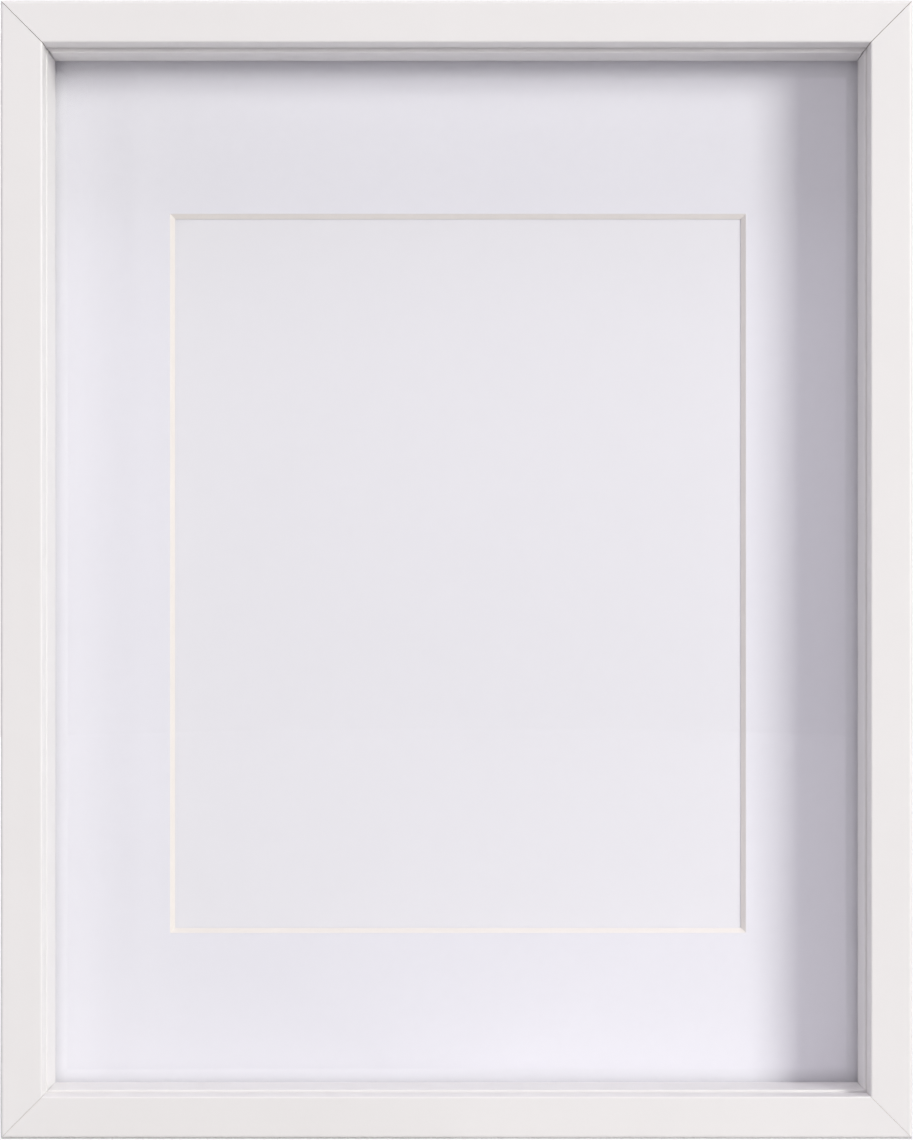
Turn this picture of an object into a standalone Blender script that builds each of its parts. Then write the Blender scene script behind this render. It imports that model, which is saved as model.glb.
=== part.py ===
"""Shadow box: a deep white picture frame that stands upright or hangs on a wall.

Four mitred rails carry a front lip. Behind the lip sit four spacer strips, and behind them a pack
of clear sheet, window mat, plain sheet, backing card and back panel, held by turn buttons.
Metres, X across, Z up, open front towards -Y, origin under the middle of the whole object.
"""

import math

import bmesh
import bpy
from mathutils import Matrix, Vector

# Fit between neighbours that touch on the real object
GAP = 0.0003
MITRE_GAP = 0.0003
CUT_OVERRUN = 0.001

# The sheets that the frame is made for, and the room round their edges
SHEET_WIDTH = 0.2794
SHEET_HEIGHT = 0.3536
SHEET_PLAY = 0.0009

# Rail moulding, as its cross-section
RAIL_WALL = 0.0093
LIP_OVERHANG = 0.0045
LIP_DEPTH = 0.0090
FACE_OUTER_RADIUS = 0.0011
FACE_INNER_RADIUS = 0.0007
REAR_CHAMFER = 0.0004
ARC_STEPS = 6

# Inner frame behind the lip, which sets how deep the clear sheet lies
RECESS_DEPTH = 0.0300
SPACER_PROUD = 0.0003
SPACER_EDGE_RADIUS = 0.0004
SPACER_ARC_STEPS = 3

# The pack, from the front to the back
CLEAR_SHEET_THICKNESS = 0.0020
MAT_THICKNESS = 0.0016
PICTURE_SHEET_THICKNESS = 0.0003
BACKING_CARD_THICKNESS = 0.0015
BACK_PANEL_THICKNESS = 0.0030
BACK_PANEL_CHAMFER = 0.0004
WINDOW_WIDTH = 0.1922
WINDOW_HEIGHT = 0.2408
WINDOW_RIGHT_OF_MIDDLE = 0.0005

# Turn buttons and their screws, on the rear of the two long rails
BUTTONS_A_SIDE = 4
BUTTON_PITCH = 0.0840
BUTTON_OVERLAP = 0.0085
BUTTON_PIVOT_RADIUS = 0.0042
BUTTON_TIP_RADIUS = 0.0028
BUTTON_THICKNESS = 0.0012
BUTTON_CHAMFER = 0.0002
SCREW_SHANK_RADIUS = 0.0012
SCREW_LENGTH = 0.0120
SCREW_POINT = 0.0022
SCREW_HEAD_RADIUS = 0.0026
SCREW_HEAD_HEIGHT = 0.0015
SCREW_HEAD_ROUND = 0.0007
ROUND_STEPS = 24

# V-nails, driven two deep into the rear of each mitre
NAILS_A_MITRE = 2
V_NAIL_THICKNESS = 0.0006
V_NAIL_HEIGHT = 0.0100
V_NAIL_SPREAD = 0.0034
V_NAIL_SWEEP = 0.0026
V_NAIL_SUNK = 0.0003

# Sawtooth hangers: a bent, toothed strip with two nails
HANGER_LENGTH = 0.0440
HANGER_HEIGHT = 0.0078
HANGER_THICKNESS = 0.0009
HANGER_RISE = 0.0016
HANGER_FOOT = 0.0075
HANGER_RAMP = 0.0025
HANGER_TEETH = 9
HANGER_TOOTH_DEPTH = 0.0016
HANGER_NAIL_INSET = 0.0036
NAIL_RADIUS = 0.0007
NAIL_LENGTH = 0.0085
NAIL_POINT = 0.0016
NAIL_HEAD_RADIUS = 0.0016
NAIL_HEAD_HEIGHT = 0.0006

# Rubber bumpers that keep the box off the wall
BUMPER_RADIUS = 0.0040
BUMPER_HEIGHT = 0.0036
BUMPER_ROUND = 0.0012
BUMPER_FROM_CORNER = 0.0220

# Worked out from the sizes above
FACE_WIDTH = RAIL_WALL + LIP_OVERHANG
OUTER_WIDTH = SHEET_WIDTH + 2 * (SHEET_PLAY + RAIL_WALL)
OUTER_HEIGHT = SHEET_HEIGHT + 2 * (SHEET_PLAY + RAIL_WALL)
CLEAR_SHEET_DEPTH = RECESS_DEPTH
MAT_DEPTH = CLEAR_SHEET_DEPTH + CLEAR_SHEET_THICKNESS + GAP
PICTURE_SHEET_DEPTH = MAT_DEPTH + MAT_THICKNESS + GAP
BACKING_CARD_DEPTH = PICTURE_SHEET_DEPTH + PICTURE_SHEET_THICKNESS + GAP
BACK_PANEL_DEPTH = BACKING_CARD_DEPTH + BACKING_CARD_THICKNESS + GAP
RAIL_DEPTH = BACK_PANEL_DEPTH + BACK_PANEL_THICKNESS
TOTAL_DEPTH = RAIL_DEPTH + GAP + BUMPER_HEIGHT
FRONT_Y = -TOTAL_DEPTH / 2
REAR_Y = FRONT_Y + RAIL_DEPTH
MIDDLE_Z = OUTER_HEIGHT / 2
PACK_MIDDLE_Z = RAIL_WALL + GAP + SHEET_HEIGHT / 2
PIVOT_X = OUTER_WIDTH / 2 - RAIL_WALL / 2
BUTTON_REACH = RAIL_WALL / 2 + SHEET_PLAY + BUTTON_OVERLAP


def clear_scene():
    for obj in list(bpy.data.objects):
        bpy.data.objects.remove(obj, do_unlink=True)


def new_collection(name):
    collection = bpy.data.collections.new(name)
    bpy.context.scene.collection.children.link(collection)
    return collection


def new_material(name, colour, roughness, metallic=0.0, alpha=1.0):
    material = bpy.data.materials.new(name)
    material.use_nodes = True
    shader = material.node_tree.nodes["Principled BSDF"]
    shader.inputs["Base Color"].default_value = (*colour, 1.0)
    shader.inputs["Roughness"].default_value = roughness
    shader.inputs["Metallic"].default_value = metallic
    shader.inputs["Alpha"].default_value = alpha
    return material


clear_scene()
PARTS = new_collection("shadow_box")
CUTTERS = new_collection("cutters")
WHITE_FOIL = new_material("white_foil", (0.82, 0.80, 0.80), 0.45)
CLEAR = new_material("clear_sheet", (0.95, 0.97, 0.97), 0.02, alpha=0.12)
MAT_BOARD = new_material("mat_board", (0.84, 0.82, 0.86), 0.9)
WHITE_PAPER = new_material("white_paper", (0.82, 0.80, 0.85), 0.85)
GREY_CARD = new_material("grey_card", (0.42, 0.39, 0.35), 0.9)
FIBREBOARD = new_material("fibreboard", (0.30, 0.19, 0.11), 0.75)
ZINC = new_material("zinc_steel", (0.62, 0.62, 0.60), 0.35, metallic=1.0)
RUBBER = new_material("rubber", (0.05, 0.05, 0.05), 0.7)


def new_part(name, mesh, material, location=(0, 0, 0), rotation=None):
    part = bpy.data.objects.new(name, mesh)
    mesh.materials.clear()
    mesh.materials.append(material)
    part.location = location
    if rotation is not None:
        part.rotation_euler = rotation.to_euler()
    PARTS.objects.link(part)
    return part


def new_cutter(name, mesh, location=(0, 0, 0), rotation=None):
    cutter = bpy.data.objects.new(name, mesh)
    cutter.location = location
    if rotation is not None:
        cutter.rotation_euler = rotation.to_euler()
    cutter.display_type = "WIRE"
    cutter.hide_render = True
    CUTTERS.objects.link(cutter)
    return cutter


def cut(part, cutter):
    boolean = part.modifiers.new("cut_" + cutter.name, "BOOLEAN")
    boolean.operation = "DIFFERENCE"
    boolean.solver = "EXACT"
    boolean.object = cutter


def bevel(part, width, segments=1):
    modifier = part.modifiers.new("edges", "BEVEL")
    modifier.width = width
    modifier.segments = segments
    modifier.limit_method = "ANGLE"
    modifier.angle_limit = math.radians(40)


def smooth_round(mesh, angle=35):
    mesh.shade_smooth()
    mesh.set_sharp_from_angle(angle=math.radians(angle))


def arc(centre, radius, start, end, steps):
    """Points on an arc, both ends included, angles in radians."""
    return [
        (
            centre[0] + radius * math.cos(start + (end - start) * step / steps),
            centre[1] + radius * math.sin(start + (end - start) * step / steps),
        )
        for step in range(steps + 1)
    ]


def circle(radius, steps=ROUND_STEPS):
    return arc((0, 0), radius, 0, 2 * math.pi * (steps - 1) / steps, steps - 1)


def extruded(name, outlines, thickness):
    """A flat outline, with any further outlines as its holes, given a thickness along local Z."""
    curve = bpy.data.curves.new(name, "CURVE")
    curve.dimensions = "2D"
    curve.fill_mode = "BOTH"
    curve.extrude = thickness / 2
    for outline in outlines:
        spline = curve.splines.new("POLY")
        spline.points.add(len(outline) - 1)
        for point, (x, y) in zip(spline.points, outline):
            point.co = (x, y, 0, 1)
        spline.use_cyclic_u = True
    drawn = bpy.data.objects.new(name, curve)
    bpy.context.scene.collection.objects.link(drawn)
    evaluated = drawn.evaluated_get(bpy.context.evaluated_depsgraph_get())
    mesh = bpy.data.meshes.new_from_object(evaluated)
    bpy.data.objects.remove(drawn)
    bpy.data.curves.remove(curve)
    mesh.name = name
    shape = bmesh.new()
    shape.from_mesh(mesh)
    bmesh.ops.remove_doubles(shape, verts=shape.verts, dist=1e-6)
    bmesh.ops.recalc_face_normals(shape, faces=shape.faces)
    shape.to_mesh(mesh)
    shape.free()
    return mesh


def turned(part, profile, steps=ROUND_STEPS):
    """Fills an empty part with a profile of (radius, height) turned about local Z."""
    mesh = part.data
    mesh.from_pydata([(radius, 0, height) for radius, height in profile],
                     [(i, i + 1) for i in range(len(profile) - 1)], [])
    screw = part.modifiers.new("turned", "SCREW")
    screw.axis = "Z"
    screw.steps = steps
    screw.render_steps = steps
    screw.use_merge_vertices = True
    screw.merge_threshold = 0.00001
    screw.use_smooth_shade = False


def rear_rotation(roll_degrees):
    """Lays local XY on the rear of the frame with local Z pointing back, then rolls it about Y."""
    onto_rear = Matrix.Rotation(math.radians(-90), 3, "X")
    return Matrix.Rotation(math.radians(roll_degrees), 3, "Y") @ onto_rear


# Each side of the frame: its roll about Y from the bottom side, its outer length and where it stands
SIDES = {
    "bottom": (0, OUTER_WIDTH, (0, 0)),
    "top": (180, OUTER_WIDTH, (0, OUTER_HEIGHT)),
    "left": (90, OUTER_HEIGHT, (-OUTER_WIDTH / 2, MIDDLE_Z)),
    "right": (-90, OUTER_HEIGHT, (OUTER_WIDTH / 2, MIDDLE_Z)),
}

# Each corner: its roll about Y from the lower left one, where it stands, and the two rails it joins
CORNERS = {
    "bottom_left": (0, (-OUTER_WIDTH / 2, 0), ("bottom", "left")),
    "bottom_right": (-90, (OUTER_WIDTH / 2, 0), ("bottom", "right")),
    "top_right": (180, (OUTER_WIDTH / 2, OUTER_HEIGHT), ("top", "right")),
    "top_left": (90, (-OUTER_WIDTH / 2, OUTER_HEIGHT), ("top", "left")),
}


def rail_section():
    """The L-shaped moulding as (depth from the front, height from the outer edge)."""
    outer = arc((FACE_OUTER_RADIUS, FACE_OUTER_RADIUS), FACE_OUTER_RADIUS,
                math.radians(270), math.radians(180), ARC_STEPS)
    inner = arc((FACE_INNER_RADIUS, FACE_WIDTH - FACE_INNER_RADIUS), FACE_INNER_RADIUS,
                math.radians(180), math.radians(90), ARC_STEPS)
    return [
        *outer,
        *inner,
        (LIP_DEPTH, FACE_WIDTH),
        (LIP_DEPTH, RAIL_WALL),
        (RAIL_DEPTH - REAR_CHAMFER, RAIL_WALL),
        (RAIL_DEPTH, RAIL_WALL - REAR_CHAMFER),
        (RAIL_DEPTH, REAR_CHAMFER),
        (RAIL_DEPTH - REAR_CHAMFER, 0),
    ]


def spacer_section():
    """A strip behind the lip, its front inner edge rounded, in the same measures as the rail."""
    front = LIP_DEPTH + GAP
    rear = RECESS_DEPTH - GAP
    outer = RAIL_WALL + GAP
    inner = FACE_WIDTH + SPACER_PROUD
    edge = arc((front + SPACER_EDGE_RADIUS, inner - SPACER_EDGE_RADIUS), SPACER_EDGE_RADIUS,
               math.radians(180), math.radians(90), SPACER_ARC_STEPS)
    return [(front, outer), *edge, (rear, inner), (rear, outer)]


def mitred(name, section, length):
    """Runs a section along local X and saws both ends at 45 degrees, towards the frame's middle."""
    mesh = extruded(name, [section], length)
    shape = bmesh.new()
    shape.from_mesh(mesh)
    along_x = Matrix(((0, 0, 1), (1, 0, 0), (0, 1, 0)))
    bmesh.ops.transform(shape, matrix=along_x.to_4x4(), verts=shape.verts)
    for end in (-1, 1):
        normal = Vector((end, 0, 1)).normalized()
        corner = Vector((end * length / 2, 0, 0))
        bmesh.ops.bisect_plane(
            shape, geom=shape.verts[:] + shape.edges[:] + shape.faces[:], dist=1e-7,
            plane_co=corner - normal * MITRE_GAP / 2, plane_no=normal, clear_outer=True)
        open_edges = [edge for edge in shape.edges if edge.is_boundary]
        bmesh.ops.holes_fill(shape, edges=open_edges, sides=0)
    bmesh.ops.recalc_face_normals(shape, faces=shape.faces)
    shape.to_mesh(mesh)
    shape.free()
    return mesh


def make_sides(kind, section):
    """Four mitred members, one on each side of the frame."""
    members = {}
    for side, (roll, length, (x, z)) in SIDES.items():
        name = kind + "_" + side
        mesh = mitred(name, section, length)
        smooth_round(mesh)
        rotation = Matrix.Rotation(math.radians(roll), 3, "Y")
        members[side] = new_part(name, mesh, WHITE_FOIL, (x, FRONT_Y, z), rotation)
    return members


def sheet(name, depth, thickness, material):
    """A sheet of the pack, standing on the bottom rail."""
    mesh = bpy.data.meshes.new(name)
    shape = bmesh.new()
    bmesh.ops.create_cube(shape, size=1)
    bmesh.ops.scale(shape, vec=(SHEET_WIDTH, thickness, SHEET_HEIGHT), verts=shape.verts)
    shape.to_mesh(mesh)
    shape.free()
    return new_part(name, mesh, material, (0, FRONT_Y + depth + thickness / 2, PACK_MIDDLE_Z))


def rectangle(width, height, middle_x=0.0):
    half_width, half_height = width / 2, height / 2
    return [
        (middle_x - half_width, -half_height),
        (middle_x + half_width, -half_height),
        (middle_x + half_width, half_height),
        (middle_x - half_width, half_height),
    ]


def window_mat():
    """The mat, whose window widens towards the front by a bevel of 45 degrees."""
    outlines = [
        rectangle(SHEET_WIDTH, SHEET_HEIGHT),
        rectangle(WINDOW_WIDTH, WINDOW_HEIGHT, WINDOW_RIGHT_OF_MIDDLE),
    ]
    mesh = extruded("window_mat", outlines, MAT_THICKNESS)
    for vertex in mesh.vertices:
        across = vertex.co.x - WINDOW_RIGHT_OF_MIDDLE
        in_window = abs(across) < WINDOW_WIDTH / 2 + GAP and abs(vertex.co.y) < WINDOW_HEIGHT / 2 + GAP
        if in_window and vertex.co.z > 0:
            vertex.co.x += math.copysign(MAT_THICKNESS, across)
            vertex.co.y += math.copysign(MAT_THICKNESS, vertex.co.y)
    facing_front = Matrix.Rotation(math.radians(90), 3, "X")
    place = (0, FRONT_Y + MAT_DEPTH + MAT_THICKNESS / 2, PACK_MIDDLE_Z)
    return new_part("window_mat", mesh, MAT_BOARD, place, facing_front)


def button_outline():
    """Two arcs, round the pivot and round the tip, joined by their outer tangents."""
    tip_middle = BUTTON_REACH - BUTTON_TIP_RADIUS
    turn = math.acos((BUTTON_PIVOT_RADIUS - BUTTON_TIP_RADIUS) / tip_middle)
    heel = arc((0, 0), BUTTON_PIVOT_RADIUS, turn, 2 * math.pi - turn, 14)
    tip = arc((tip_middle, 0), BUTTON_TIP_RADIUS, -turn, turn, 8)
    return heel + tip


def screw_profile():
    """Pan head above, plain shank and point below; height 0 is under the head."""
    top = SCREW_HEAD_HEIGHT
    dome = arc((SCREW_HEAD_RADIUS - SCREW_HEAD_ROUND, top - SCREW_HEAD_ROUND), SCREW_HEAD_ROUND,
               math.radians(90), 0, 4)
    return [
        (0, top),
        *dome,
        (SCREW_HEAD_RADIUS, 0),
        (SCREW_SHANK_RADIUS, 0),
        (SCREW_SHANK_RADIUS, SCREW_POINT - SCREW_LENGTH),
        (0, -SCREW_LENGTH),
    ]


def button_heights():
    """Heights of the buttons on one rail, evenly about its middle."""
    first = MIDDLE_Z - BUTTON_PITCH * (BUTTONS_A_SIDE - 1) / 2
    return [first + BUTTON_PITCH * i for i in range(BUTTONS_A_SIDE)]


def make_turn_buttons(rails):
    """Buttons on the left and right rails, closed over the panel, each on its own screw."""
    mesh = extruded("turn_button", [button_outline(), circle(SCREW_SHANK_RADIUS + GAP)],
                    BUTTON_THICKNESS)
    button_y = REAR_Y + GAP + BUTTON_THICKNESS / 2
    under_head_y = REAR_Y + 2 * GAP + BUTTON_THICKNESS
    hole_depth = SCREW_LENGTH - (under_head_y - REAR_Y) + GAP
    hole_mesh = extruded("screw_hole", [circle(SCREW_SHANK_RADIUS + GAP)],
                         hole_depth + CUT_OVERRUN)
    hole_y = REAR_Y + (CUT_OVERRUN - hole_depth) / 2
    for side, x, roll in (("left", -PIVOT_X, 0), ("right", PIVOT_X, 180)):
        for number, z in enumerate(button_heights(), start=1):
            tag = side + "_" + str(number)
            rotation = rear_rotation(roll)
            button = new_part("turn_button_" + tag, mesh.copy(), ZINC, (x, button_y, z), rotation)
            bevel(button, BUTTON_CHAMFER)
            screw_mesh = bpy.data.meshes.new("button_screw_" + tag)
            screw = new_part("button_screw_" + tag, screw_mesh, ZINC,
                             (x, under_head_y, z), rotation)
            turned(screw, screw_profile())
            hole = new_cutter("screw_hole_" + tag, hole_mesh.copy(), (x, hole_y, z), rotation)
            cut(rails[side], hole)


def v_outline(half_thickness, stretch):
    """A V across the mitre: its apex lies towards the outer corner, its legs run into both rails.

    The mitre is the diagonal of the corner. along and across run along and square to it.
    """
    middle = RAIL_WALL / math.sqrt(2)
    apex_along = middle - V_NAIL_SWEEP / 2
    leg = Vector((V_NAIL_SWEEP, V_NAIL_SPREAD))
    leg_direction = leg.normalized()
    side_step = Vector((-leg_direction.y, leg_direction.x)) * half_thickness
    apex_step = half_thickness / leg_direction.y
    end = leg + leg_direction * stretch
    half = [
        Vector((-apex_step, 0)),
        end + side_step,
        end - side_step,
        Vector((apex_step, 0)),
    ]
    mirrored = [Vector((point.x, -point.y)) for point in reversed(half[1:3])]
    diagonal = math.sqrt(0.5)
    outline = []
    for point in half + mirrored:
        along = apex_along + point.x
        across = point.y
        outline.append(((along + across) * diagonal, (along - across) * diagonal))
    return outline


def make_v_nails(rails):
    """V-nails stacked in one slot behind each mitre; the slot crosses both rails."""
    nail_mesh = extruded("v_nail", [v_outline(V_NAIL_THICKNESS / 2, 0)], V_NAIL_HEIGHT)
    slot_depth = V_NAIL_SUNK + NAILS_A_MITRE * (V_NAIL_HEIGHT + GAP)
    slot_mesh = extruded("v_nail_slot", [v_outline(V_NAIL_THICKNESS / 2 + GAP, GAP)],
                         slot_depth + CUT_OVERRUN)
    upright = Matrix.Rotation(math.radians(90), 3, "X")
    for corner, (roll, (x, z), joined) in CORNERS.items():
        rotation = Matrix.Rotation(math.radians(roll), 3, "Y") @ upright
        slot_y = REAR_Y + (CUT_OVERRUN - slot_depth) / 2
        slot = new_cutter("v_nail_slot_" + corner, slot_mesh.copy(), (x, slot_y, z), rotation)
        for side in joined:
            cut(rails[side], slot)
        for number in range(NAILS_A_MITRE):
            behind = V_NAIL_SUNK + number * (V_NAIL_HEIGHT + GAP) + V_NAIL_HEIGHT / 2
            name = "v_nail_" + corner + "_" + str(number + 1)
            new_part(name, nail_mesh.copy(), ZINC, (x, REAR_Y - behind, z), rotation)


def hanger_outline():
    """A strip with rounded ends and a row of teeth along its lower edge."""
    half_length = HANGER_LENGTH / 2
    half_height = HANGER_HEIGHT / 2
    corner = half_height / 2
    toothed = HANGER_LENGTH - 2 * (HANGER_FOOT + HANGER_RAMP)
    pitch = toothed / HANGER_TEETH
    outline = []
    for x_sign, start in ((1, 0), (-1, 90)):
        middle = (x_sign * (half_length - corner), half_height - corner)
        outline += arc(middle, corner, math.radians(start), math.radians(start + 90), 4)
    outline += arc((corner - half_length, corner - half_height), corner,
                   math.radians(180), math.radians(270), 4)
    for tooth in range(HANGER_TEETH):
        left = -toothed / 2 + tooth * pitch
        outline += [(left, -half_height), (left + pitch / 2, HANGER_TOOTH_DEPTH - half_height)]
    outline.append((toothed / 2, -half_height))
    outline += arc((half_length - corner, corner - half_height), corner,
                   math.radians(270), math.radians(360), 4)
    return outline


def bent_hanger():
    """The strip with its feet flat on the rail and its middle raised, as a hook for a wall nail."""
    nail_hole = circle(NAIL_RADIUS + GAP, 12)
    nail_x = HANGER_LENGTH / 2 - HANGER_NAIL_INSET
    holes = [[(x + side * nail_x, y) for x, y in nail_hole] for side in (-1, 1)]
    mesh = extruded("hanger", [hanger_outline(), *holes], HANGER_THICKNESS)
    shape = bmesh.new()
    shape.from_mesh(mesh)
    foot_end = HANGER_LENGTH / 2 - HANGER_FOOT
    raised_end = foot_end - HANGER_RAMP
    for fold in (-foot_end, -raised_end, raised_end, foot_end):
        bmesh.ops.bisect_plane(
            shape, geom=shape.verts[:] + shape.edges[:] + shape.faces[:], dist=1e-7,
            plane_co=(fold, 0, 0), plane_no=(1, 0, 0))
    for vertex in shape.verts:
        up_ramp = (foot_end - abs(vertex.co.x)) / HANGER_RAMP
        vertex.co.z += HANGER_RISE * min(max(up_ramp, 0), 1)
    bmesh.ops.triangulate(shape, faces=shape.faces)
    shape.to_mesh(mesh)
    shape.free()
    return mesh


def nail_profile():
    return [
        (0, NAIL_HEAD_HEIGHT),
        (NAIL_HEAD_RADIUS, NAIL_HEAD_HEIGHT),
        (NAIL_HEAD_RADIUS, 0),
        (NAIL_RADIUS, 0),
        (NAIL_RADIUS, NAIL_POINT - NAIL_LENGTH),
        (0, -NAIL_LENGTH),
    ]


def make_hangers(rails):
    """One hanger for upright hanging, and one on the left rail for hanging sideways."""
    mesh = bent_hanger()
    hanger_y = REAR_Y + GAP + HANGER_THICKNESS / 2
    under_head_y = REAR_Y + 2 * GAP + HANGER_THICKNESS
    hole_depth = NAIL_LENGTH - (under_head_y - REAR_Y) + GAP
    hole_mesh = extruded("nail_hole", [circle(NAIL_RADIUS + GAP, 12)], hole_depth + CUT_OVERRUN)
    hole_y = REAR_Y + (CUT_OVERRUN - hole_depth) / 2
    nail_step = HANGER_LENGTH / 2 - HANGER_NAIL_INSET
    rail_middle = RAIL_WALL / 2
    places = {
        "top": (180, Vector((0, OUTER_HEIGHT - rail_middle)), Vector((nail_step, 0))),
        "left": (90, Vector((rail_middle - OUTER_WIDTH / 2, MIDDLE_Z)), Vector((0, nail_step))),
    }
    for side, (roll, middle, step) in places.items():
        rotation = rear_rotation(roll)
        new_part("hanger_" + side, mesh.copy(), ZINC, (middle.x, hanger_y, middle.y), rotation)
        for number, sign in ((1, -1), (2, 1)):
            x, z = middle + step * sign
            tag = side + "_" + str(number)
            nail = new_part("hanger_nail_" + tag, bpy.data.meshes.new("hanger_nail_" + tag),
                            ZINC, (x, under_head_y, z), rotation)
            turned(nail, nail_profile(), 12)
            hole = new_cutter("nail_hole_" + tag, hole_mesh.copy(), (x, hole_y, z), rotation)
            cut(rails[side], hole)


def bumper_profile():
    shoulder = arc((BUMPER_RADIUS - BUMPER_ROUND, BUMPER_HEIGHT - BUMPER_ROUND), BUMPER_ROUND,
                   math.radians(90), 0, 4)
    return [(0, BUMPER_HEIGHT), *shoulder, (BUMPER_RADIUS, 0), (0, 0)]


def make_bumpers():
    """Four bumpers, on the rear of the top and bottom rails near the corners."""
    x = OUTER_WIDTH / 2 - BUMPER_FROM_CORNER
    for level, z in (("bottom", RAIL_WALL / 2), ("top", OUTER_HEIGHT - RAIL_WALL / 2)):
        for side, sign in (("left", -1), ("right", 1)):
            name = "bumper_" + level + "_" + side
            bumper = new_part(name, bpy.data.meshes.new(name), RUBBER,
                              (sign * x, REAR_Y + GAP, z), rear_rotation(0))
            turned(bumper, bumper_profile())


def build():
    rails = make_sides("rail", rail_section())
    make_sides("spacer", spacer_section())
    sheet("clear_sheet", CLEAR_SHEET_DEPTH, CLEAR_SHEET_THICKNESS, CLEAR)
    window_mat()
    sheet("picture_sheet", PICTURE_SHEET_DEPTH, PICTURE_SHEET_THICKNESS, WHITE_PAPER)
    sheet("backing_card", BACKING_CARD_DEPTH, BACKING_CARD_THICKNESS, GREY_CARD)
    panel = sheet("back_panel", BACK_PANEL_DEPTH, BACK_PANEL_THICKNESS, FIBREBOARD)
    bevel(panel, BACK_PANEL_CHAMFER)
    make_turn_buttons(rails)
    make_v_nails(rails)
    make_hangers(rails)
    make_bumpers()


build()
print("outer size", round(OUTER_WIDTH, 4), round(TOTAL_DEPTH, 4), round(OUTER_HEIGHT, 4))
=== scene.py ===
# %% [markdown]
# # A white shadow box
#
# The object is a deep white picture frame. From the front you see four mitred mouldings with a
# lip, then a strip set behind that lip on each side, and at the bottom of the recess a clear pane
# that lies on a white window mat. From behind you see a hardboard back under turn buttons.
#
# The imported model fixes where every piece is. This script gives every piece its finish, and
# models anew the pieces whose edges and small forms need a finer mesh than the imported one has.

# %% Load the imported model
import math

import bmesh
import bpy
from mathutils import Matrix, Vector


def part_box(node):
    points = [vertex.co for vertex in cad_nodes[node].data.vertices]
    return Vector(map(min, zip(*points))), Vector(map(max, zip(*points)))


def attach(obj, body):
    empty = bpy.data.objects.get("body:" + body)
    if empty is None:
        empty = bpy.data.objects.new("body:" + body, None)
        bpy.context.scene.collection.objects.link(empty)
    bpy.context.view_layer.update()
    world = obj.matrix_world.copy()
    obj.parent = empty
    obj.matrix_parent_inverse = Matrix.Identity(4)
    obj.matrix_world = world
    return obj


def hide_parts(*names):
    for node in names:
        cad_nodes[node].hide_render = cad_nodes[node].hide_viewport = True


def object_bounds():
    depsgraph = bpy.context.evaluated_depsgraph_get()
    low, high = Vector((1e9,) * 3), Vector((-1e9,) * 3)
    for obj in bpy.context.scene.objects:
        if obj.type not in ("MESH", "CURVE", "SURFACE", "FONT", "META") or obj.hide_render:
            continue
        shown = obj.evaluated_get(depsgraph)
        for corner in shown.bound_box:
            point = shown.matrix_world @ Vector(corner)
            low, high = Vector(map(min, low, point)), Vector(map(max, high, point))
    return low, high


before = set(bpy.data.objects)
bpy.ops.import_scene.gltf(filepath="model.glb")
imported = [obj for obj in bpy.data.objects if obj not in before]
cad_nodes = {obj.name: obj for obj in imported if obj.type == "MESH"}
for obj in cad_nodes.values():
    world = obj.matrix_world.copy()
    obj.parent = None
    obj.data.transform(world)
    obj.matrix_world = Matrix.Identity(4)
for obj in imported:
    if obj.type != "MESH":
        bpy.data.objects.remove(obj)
cad_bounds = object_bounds()
print("nodes", len(cad_nodes), "lowest", cad_bounds[0], "highest", cad_bounds[1])

# %% [markdown]
# ## Measures
#
# All lengths are in metres. The places of the main edges are read from the boxes of the packed
# nodes, so they can't drift from the model. Y runs from the front of the frame to its rear, Z is
# up, and X is zero at the middle.

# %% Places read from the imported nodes
GAP = 0.0003
rail_low, rail_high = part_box("rail_bottom")
strip_low, strip_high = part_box("spacer_bottom")
FRONT_Y = rail_low[1]
REAR_Y = rail_high[1]
FACE_WIDTH = rail_high[2]
RAIL_WALL = strip_low[2] - GAP
LIP_REAR_Y = strip_low[1] - GAP
HALF_WIDTH = cad_bounds[1][0]
OUTER_HEIGHT = cad_bounds[1][2]
MIDDLE_Z = OUTER_HEIGHT / 2
print("face", round(FACE_WIDTH * 1000, 2), "wall", round(RAIL_WALL * 1000, 2),
      "lip depth", round((LIP_REAR_Y - FRONT_Y) * 1000, 2), "mm")

# %% [markdown]
# ## Node materials
#
# Every finish is a Principled shader fed by a little noise. The noise reads Object coordinates.
# They are in metres here, so a noise of scale 1000 has features about a millimetre across.


# %% Helpers for node materials
def new_material(name, roughness, metallic=0.0):
    material = bpy.data.materials.new(name)
    material.use_nodes = True
    shader = material.node_tree.nodes["Principled BSDF"]
    shader.inputs["Roughness"].default_value = roughness
    shader.inputs["Metallic"].default_value = metallic
    return material, material.node_tree, shader


def object_noise(tree, scale, detail=2.0, stretch=(1, 1, 1)):
    """Noise over the piece. A small number in stretch draws it out along that axis."""
    where = tree.nodes.new("ShaderNodeTexCoord")
    mapping = tree.nodes.new("ShaderNodeMapping")
    mapping.inputs["Scale"].default_value = stretch
    noise = tree.nodes.new("ShaderNodeTexNoise")
    noise.inputs["Scale"].default_value = scale
    noise.inputs["Detail"].default_value = detail
    tree.links.new(where.outputs["Object"], mapping.inputs["Vector"])
    tree.links.new(mapping.outputs["Vector"], noise.inputs["Vector"])
    return noise.outputs["Fac"]


def between(tree, factor, dark, light, start=0.35, end=0.65):
    """A colour that goes from dark to light while the factor goes from start to end."""
    node = tree.nodes.new("ShaderNodeValToRGB")
    for element, place, colour in zip(node.color_ramp.elements, (start, end), (dark, light)):
        element.position = place
        element.color = (*colour, 1)
    tree.links.new(factor, node.inputs["Fac"])
    return node.outputs["Color"]


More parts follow.
